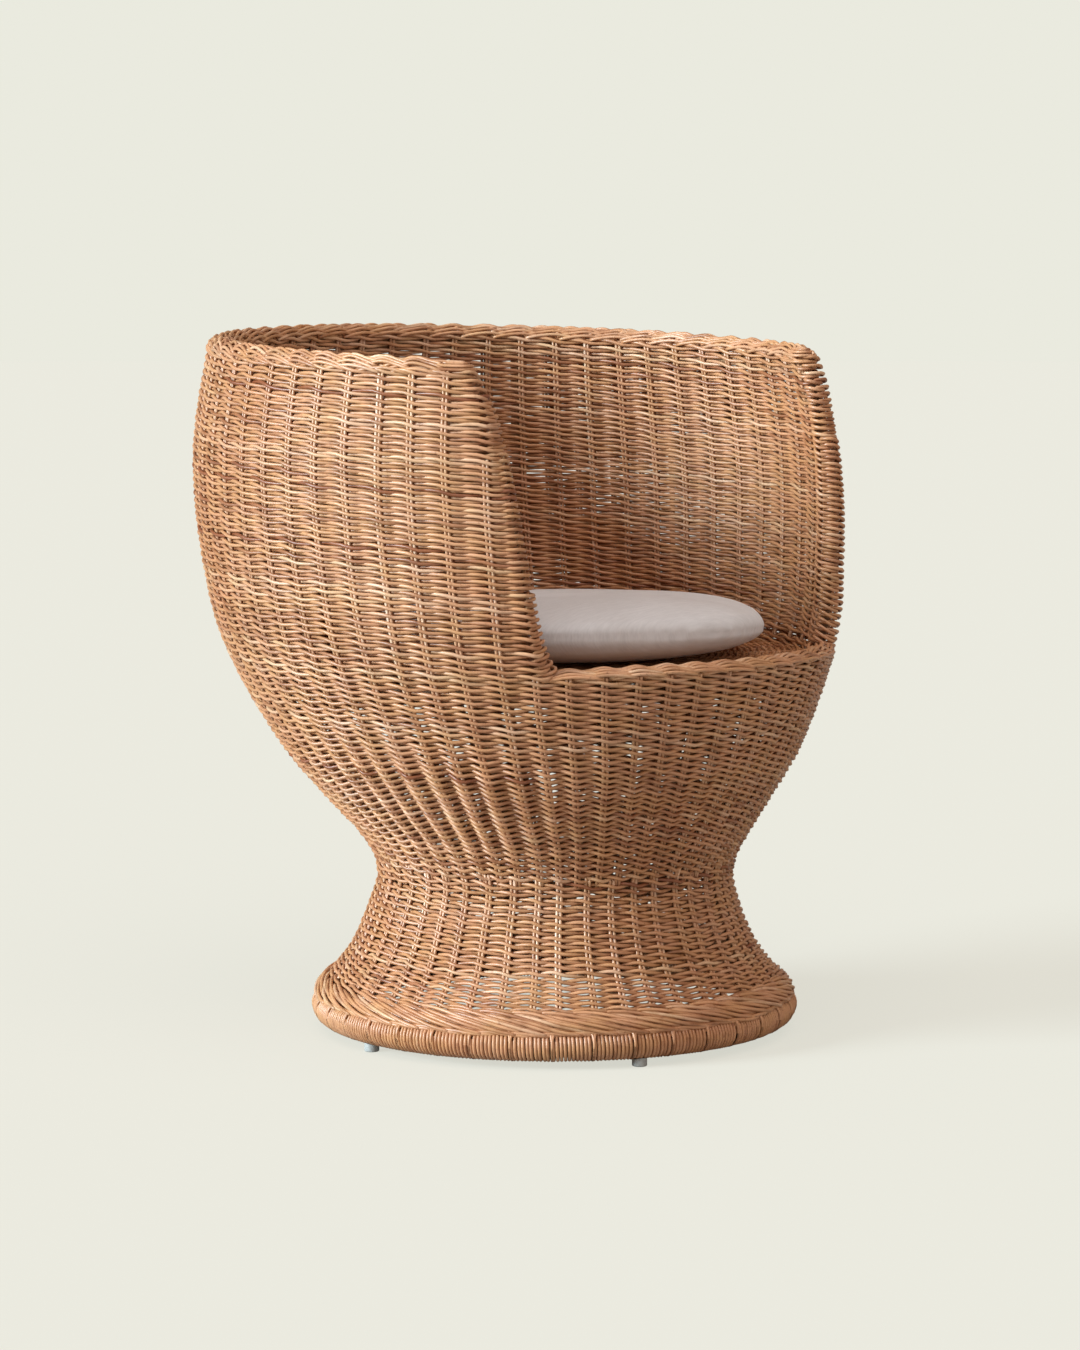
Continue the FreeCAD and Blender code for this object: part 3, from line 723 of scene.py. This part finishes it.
def seat_row(radius, count):
    u = np.arange(count * PER) / PER
    theta = -TAU * u / count
    centre_y = BASE_Y + through(2, SEAT_TOP)[0]
    height = np.full(len(u), SEAT_TOP - SEAT_IN)
    points = np.stack([radius * np.sin(theta), centre_y + radius * np.cos(theta), height], -1)
    normals = np.broadcast_to(np.array([0, 0, 1.0]), points.shape)
    return Row(points, normals, u, count)


seat_radius = float(through(1, SEAT_TOP)[0]) - 0.0235
seat = Strands()
radius = seat_radius - 0.004
while radius > 0.012:
    count = 48 if radius > 0.17 else 24 if radius > 0.07 else 12
    twine(seat, seat_row(radius, count), 0.0020, 0.0022, 0.0021, 0.45)
    radius -= 0.0078
for count, low, high in ((48, 0.165, seat_radius), (24, 0.065, 0.178), (12, 0.006, 0.078)):
    for k in range(count):
        theta = -TAU * k / count
        along = np.linspace(low, high, 5)
        way = np.array([math.sin(theta), math.cos(theta), 0.0])
        side = np.array([math.cos(theta), -math.sin(theta), 0.0])
        centre = np.array([0, BASE_Y + float(through(2, SEAT_TOP)[0]), SEAT_TOP - SEAT_IN])
        middle = centre + along[:, None] * way
        pair = np.stack([middle + s * STAKE_R * side for s in (-1, 1)])
        seat.add(pair, np.array([0, 0, 1.0]), STAKE_R * 0.9, 0.55, along[None] + rng.uniform(0, 50))
seat.build("woven_seat", "woven_cane", CANE, "seat_panel")


# ---- Frame poles, nails and glides --------------------------------------------------------
def pole_material():
    material, tree, shader = new_material("cane_pole")
    streak = noise(tree, object_vector(tree, (60, 60, 9)), 1.0, 3.0, 0.6)
    colour = ramp(
        tree, streak,
        (0.3, (0.20, 0.10, 0.05)), (0.55, (0.36, 0.20, 0.10)), (0.8, (0.48, 0.30, 0.17)),
    )
    tree.links.new(colour, shader.inputs["Base Color"])
    shader.inputs["Roughness"].default_value = 0.55
    bump(tree, shader, streak, 0.3, 0.0008)
    return material


def plain_material(name, low, high, scale, rough, metallic=0.0, depth=0.0002):
    material, tree, shader = new_material(name)
    mottle = noise(tree, object_vector(tree), scale, 3.0, 0.6)
    tree.links.new(ramp(tree, mottle, (0.35, low), (0.7, high)), shader.inputs["Base Color"])
    spread = add(tree, "ShaderNodeMapRange", **{"To Min": rough - 0.08, "To Max": rough + 0.08})
    tree.links.new(mottle, spread.inputs["Value"])
    tree.links.new(spread.outputs["Result"], shader.inputs["Roughness"])
    shader.inputs["Metallic"].default_value = metallic
    bump(tree, shader, mottle, 0.15, depth)
    return material


POLE = pole_material()
STEEL = plain_material("nail_steel", (0.30, 0.29, 0.28), (0.52, 0.51, 0.50), 700, 0.35, 1.0)
GLIDE = plain_material("glide_plastic", (0.33, 0.34, 0.33), (0.46, 0.47, 0.45), 300, 0.45)
ZIP_PLASTIC = plain_material("zip_plastic", (0.46, 0.44, 0.42), (0.56, 0.54, 0.52), 900, 0.35)
ZIP_METAL = plain_material("zip_metal", (0.50, 0.49, 0.47), (0.68, 0.67, 0.65), 900, 0.28, 1.0)
for node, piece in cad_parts.items():
    if "nails" in node:
        finish = STEEL
    elif any(word in node for word in ("rib_", "post", "hoop", "slat", "seat_ring", "base_ring_pole")):
        finish = POLE
    elif node == "foot_glides":
        finish = GLIDE
    elif node in ("zip_slider", "zip_pull_tab"):
        finish = ZIP_METAL
    else:
        finish = ZIP_PLASTIC
    piece.data.materials.clear()
    piece.data.materials.append(finish)


# ---- Cushion ------------------------------------------------------------------------------
def fabric(name, low, high):
    """Fine slubby cloth with a faint diagonal."""
    material, tree, shader = new_material(name)
    place = object_vector(tree)
    turned = add(tree, "ShaderNodeMapping", Rotation=(0, 0, math.radians(35)), Scale=(1, 9, 1))
    tree.links.new(place, turned.inputs["Vector"])
    slub = noise(tree, turned.outputs["Vector"], 60.0, 3.0, 0.6)
    threads = []
    for direction in ("X", "Y"):
        wave = add(
            tree, "ShaderNodeTexWave",
            wave_type="BANDS", bands_direction=direction, Scale=330.0, Distortion=1.2,
        )
        tree.links.new(place, wave.inputs["Vector"])
        threads.append(wave.outputs["Fac"])
    cloth = add(tree, "ShaderNodeMath", operation="ADD")
    for socket, thread in zip(cloth.inputs, threads):
        tree.links.new(thread, socket)
    soil = noise(tree, place, 9.0, 2.0, 0.5)
    colour = ramp(tree, slub, (0.3, low), (0.7, high))
    tint = ramp(tree, soil, (0.35, (0.93, 0.92, 0.91)), (0.6, (1, 1, 1)))
    tree.links.new(mix_colours(tree, 1.0, colour, tint, "MULTIPLY"), shader.inputs["Base Color"])
    shader.inputs["Roughness"].default_value = 0.82
    shader.inputs["Sheen Weight"].default_value = 0.25
    first = bump(tree, shader, cloth.outputs["Value"], 0.25, 0.0003)
    second = add(tree, "ShaderNodeBump", Strength=0.25, Distance=0.0005)
    tree.links.new(slub, second.inputs["Height"])
    tree.links.new(second.outputs["Normal"], first.inputs["Normal"])
    return material


COVER_CLOTH = fabric("cushion_fabric", (0.70, 0.695, 0.715), (0.80, 0.795, 0.815))
TAPE_CLOTH = fabric("zip_tape_cloth", (0.36, 0.34, 0.33), (0.44, 0.42, 0.41))
FILLING = fabric("cushion_filling", (0.70, 0.70, 0.68), (0.78, 0.78, 0.76))
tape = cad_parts["zip_tape"]
tape.data.materials.clear()
tape.data.materials.append(TAPE_CLOTH)

CUSHION_Y, CUSHION_R = BASE_Y + 0.0045, 0.250
CUSHION_LOW, CUSHION_MID, CUSHION_TOP = 0.4395, 0.4695, 0.5065


def cushion_outline(shrink):
    """Half section of the cushion: radius and height, from the middle of the underside to the top."""
    low, high, rim = CUSHION_LOW + shrink, CUSHION_TOP - shrink, CUSHION_R - shrink
    share = np.sin(np.linspace(0, math.pi / 2, 34))
    under = np.stack([rim * share, CUSHION_MID - (CUSHION_MID - low) * (1 - share**3.6) ** 0.6], -1)
    over = np.stack([rim * share, CUSHION_MID + (high - CUSHION_MID) * (1 - share**3.8) ** 0.62], -1)
    return np.concatenate([under, over[-2::-1]])


def lathe(name, outline, steps):
    bm = bmesh.new()
    rings = []
    for radius, height in outline:
        if radius < 1e-6:
            rings.append([bm.verts.new((0, CUSHION_Y, height))])
            continue
        rings.append([
            bm.verts.new((radius * math.sin(a), CUSHION_Y + radius * math.cos(a), height))
            for a in np.arange(steps) * TAU / steps
        ])
    for lower, upper in zip(rings, rings[1:]):
        for k in range(steps):
            m = (k + 1) % steps
            if len(lower) == 1:
                bm.faces.new((lower[0], upper[k], upper[m]))
            elif len(upper) == 1:
                bm.faces.new((lower[k], upper[0], lower[m]))
            else:
                bm.faces.new((lower[k], upper[k], upper[m], lower[m]))
    bmesh.ops.recalc_face_normals(bm, faces=bm.faces)
    mesh = bpy.data.meshes.new(name)
    bm.to_mesh(mesh)
    bm.free()
    piece = bpy.data.objects.new(name, mesh)
    bpy.context.scene.collection.objects.link(piece)
    return piece


def apply_modifiers(piece):
    bpy.context.view_layer.objects.active = piece
    for other in bpy.context.selected_objects:
        other.select_set(False)
    piece.select_set(True)
    for modifier in list(piece.modifiers):
        bpy.ops.object.modifier_apply(modifier=modifier.name)


def coordinates(piece):
    co = np.empty(len(piece.data.vertices) * 3, np.float32)
    piece.data.vertices.foreach_get("co", co)
    return co.reshape(-1, 3).astype(float)


def set_coordinates(piece, co):
    piece.data.vertices.foreach_set("co", co.astype(np.float32).ravel())
    piece.data.update()


def stuffed(piece, frames, furthest):
    """Blows the cover up with cloth simulation, no point moving further than allowed."""
    before = coordinates(piece)
    cloth = piece.modifiers.new("Cloth", "CLOTH")
    cloth.settings.use_pressure = True
    cloth.settings.uniform_pressure_force = 4.0
    cloth.settings.effector_weights.gravity = 0.0
    cloth.settings.tension_stiffness = 12
    cloth.settings.bending_stiffness = 0.4
    cloth.collision_settings.use_collision = False
    cloth.point_cache.frame_start, cloth.point_cache.frame_end = 1, frames
    for number in range(1, frames + 1):
        bpy.context.scene.frame_set(number)
    graph = bpy.context.evaluated_depsgraph_get()
    shape = piece.evaluated_get(graph).to_mesh()
    after = np.empty(len(shape.vertices) * 3, np.float32)
    shape.vertices.foreach_get("co", after)
    piece.modifiers.clear()
    bpy.context.scene.frame_set(1)
    move = after.reshape(-1, 3) - before
    size = np.linalg.norm(move, axis=1, keepdims=True)
    set_coordinates(piece, before + move * np.minimum(1, furthest / np.maximum(size, 1e-9)))


cushion = lathe("seat_cushion", cushion_outline(0.004), 120)
remesh = cushion.modifiers.new("Remesh", "REMESH")
remesh.mode, remesh.voxel_size, remesh.use_smooth_shade = "VOXEL", 0.005, True
apply_modifiers(cushion)
stuffed(cushion, 20, 0.006)


def fit_cushion(co):
    """Keeps the stuffed shape on the seat and inside its cover size, with a seam and soft unevenness."""
    x, y, z = co[:, 0], co[:, 1] - CUSHION_Y, co[:, 2]
    radius, theta = np.hypot(x, y), np.arctan2(x, y)
    radius = radius * CUSHION_R / radius.max()
    share = np.clip(radius / CUSHION_R, 0, 1)
    outline = cushion_outline(0.0)
    over = np.interp(radius, outline[33:, 0][::-1], outline[33:, 1][::-1])
    under = np.interp(radius, outline[:34, 0], outline[:34, 1])
    top = smooth(z, CUSHION_MID - 0.004, CUSHION_MID + 0.012)
    z = z + 0.75 * (top * over + (1 - top) * under - z) * (1 - smooth(share, 0.93, 0.99))
    forward, sideways = -(0.729 * x + 0.684 * y), 0.684 * x - 0.729 * y
    raised = 0.07 * np.maximum(forward, 0) * smooth(z, CUSHION_MID - 0.014, CUSHION_MID + 0.012)
    raised = raised + 0.028 * sideways * top
    slow = 0.0011 * np.sin(3 * theta + 0.6) * share + 0.0008 * np.sin(x * 31 + y * 23)
    dent = -0.0028 * np.exp(-(((x + 0.13) / 0.06) ** 2 + ((y + 0.12) / 0.08) ** 2))
    z = z + raised + top * (slow + dent)
    edge = smooth(share, 0.86, 0.99)
    level = z - raised - CUSHION_MID
    pucker = 0.0003 * np.sin(theta * 61 + 2 * np.sin(theta * 9)) * np.exp(-((level / 0.010) ** 2))
    seam = -0.0012 * np.exp(-((level / 0.0020) ** 2))
    radius = np.minimum(radius + edge * (pucker + seam), CUSHION_R)
    x, y = radius * np.sin(theta), CUSHION_Y + radius * np.cos(theta)
    return np.stack([x, y, np.maximum(z, CUSHION_LOW)], -1)


even = cushion.modifiers.new("Smooth", "SMOOTH")
even.factor, even.iterations = 0.5, 12
smoother = cushion.modifiers.new("Subdivision", "SUBSURF")
smoother.levels = smoother.render_levels = 1
apply_modifiers(cushion)
set_coordinates(cushion, fit_cushion(coordinates(cushion)))
cushion.data.polygons.foreach_set("use_smooth", np.ones(len(cushion.data.polygons), bool))
cushion.data.materials.clear()
cushion.data.materials.append(COVER_CLOTH)
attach(cushion, "cushion")
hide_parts("cushion_cover")

filling = lathe("cushion_filling", cushion_outline(0.012), 96)
filling.data.polygons.foreach_set("use_smooth", np.ones(len(filling.data.polygons), bool))
filling.data.materials.append(FILLING)
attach(filling, "cushion")
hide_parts("cushion_insert")

# ---- Camera, light and floor --------------------------------------------------------------
BACKGROUND = (0.823, 0.823, 0.737)
FLOOR_GLOW = 0.78
scene = bpy.context.scene
scene.view_settings.view_transform = "Standard"
scene.view_settings.look = "None"

camera = bpy.data.objects.new("camera", bpy.data.cameras.new("camera"))
scene.collection.objects.link(camera)
camera.location = (-3.1162, -2.9783, 0.8363)
aim = Vector((0.0, BASE_Y, 0.40)) - camera.location
camera.rotation_euler = aim.to_track_quat("-Z", "Y").to_euler()
camera.data.sensor_width = 36.0
camera.data.lens = 97.59
camera.data.shift_x = -0.0107
camera.data.shift_y = 0.0086
scene.camera = camera

world = bpy.data.worlds.new("studio")
world.use_nodes = True
sky = world.node_tree.nodes["Background"]
sky.inputs["Color"].default_value = (*BACKGROUND, 1)
fill = add(world.node_tree, "ShaderNodeBackground", Color=(1.0, 0.75, 0.60, 1), Strength=0.33)
seen = world.node_tree.nodes.new("ShaderNodeMixShader")
path = world.node_tree.nodes.new("ShaderNodeLightPath")
world.node_tree.links.new(path.outputs["Is Camera Ray"], seen.inputs["Fac"])
world.node_tree.links.new(fill.outputs["Background"], seen.inputs[1])
world.node_tree.links.new(sky.outputs["Background"], seen.inputs[2])
world.node_tree.links.new(seen.outputs["Shader"], world.node_tree.nodes["World Output"].inputs["Surface"])
scene.world = world


def lamp(name, towards, energy, angle, colour):
    light = bpy.data.lights.new(name, "SUN")
    light.energy, light.angle, light.color = energy, math.radians(angle), colour
    made = bpy.data.objects.new(name, light)
    made.rotation_euler = Vector(towards).to_track_quat("Z", "Y").to_euler()
    scene.collection.objects.link(made)


lamp("key", (-0.84, 0.40, 0.31), 5.35, 24, (0.87, 1.05, 1.15))
lamp("front", (-0.17, -0.97, 0.15), 0.45, 70, (1.0, 0.93, 0.88))
lamp("top", (-0.22, -0.30, 0.93), 1.10, 60, (1.0, 1.0, 1.0))


def floor():
    """Pale floor that the camera sees at the background's brightness; it throws less light back up."""
    mesh = bpy.data.meshes.new("floor")
    steps, far = 96, 60.0
    ring = [(far * math.cos(TAU * k / steps), far * math.sin(TAU * k / steps), 0.0) for k in range(steps)]
    mesh.from_pydata(ring, [], [tuple(range(steps))])
    material, tree, shader = new_material("floor")
    grain = noise(tree, object_vector(tree), 3.0, 2.0, 0.5)
    pale = ramp(tree, grain, (0.0, (0.41, 0.40, 0.37)), (1.0, (0.43, 0.42, 0.39)))
    tree.links.new(pale, shader.inputs["Base Color"])
    shader.inputs["Roughness"].default_value = 1.0
    shader.inputs["Specular IOR Level"].default_value = 0.0
    matt = add(tree, "ShaderNodeBsdfDiffuse", Color=(0.164, 0.156, 0.142, 1))
    glow = add(tree, "ShaderNodeEmission", Color=(*BACKGROUND, 1), Strength=FLOOR_GLOW)
    both = tree.nodes.new("ShaderNodeAddShader")
    seen = tree.nodes.new("ShaderNodeMixShader")
    path = tree.nodes.new("ShaderNodeLightPath")
    tree.links.new(matt.outputs["BSDF"], both.inputs[0])
    tree.links.new(glow.outputs["Emission"], both.inputs[1])
    tree.links.new(path.outputs["Is Camera Ray"], seen.inputs["Fac"])
    tree.links.new(shader.outputs["BSDF"], seen.inputs[1])
    tree.links.new(both.outputs["Shader"], seen.inputs[2])
    tree.links.new(seen.outputs["Shader"], tree.nodes["Material Output"].inputs["Surface"])
    mesh.materials.append(material)
    made = bpy.data.objects.new("floor", mesh)
    scene.collection.objects.link(made)


floor()
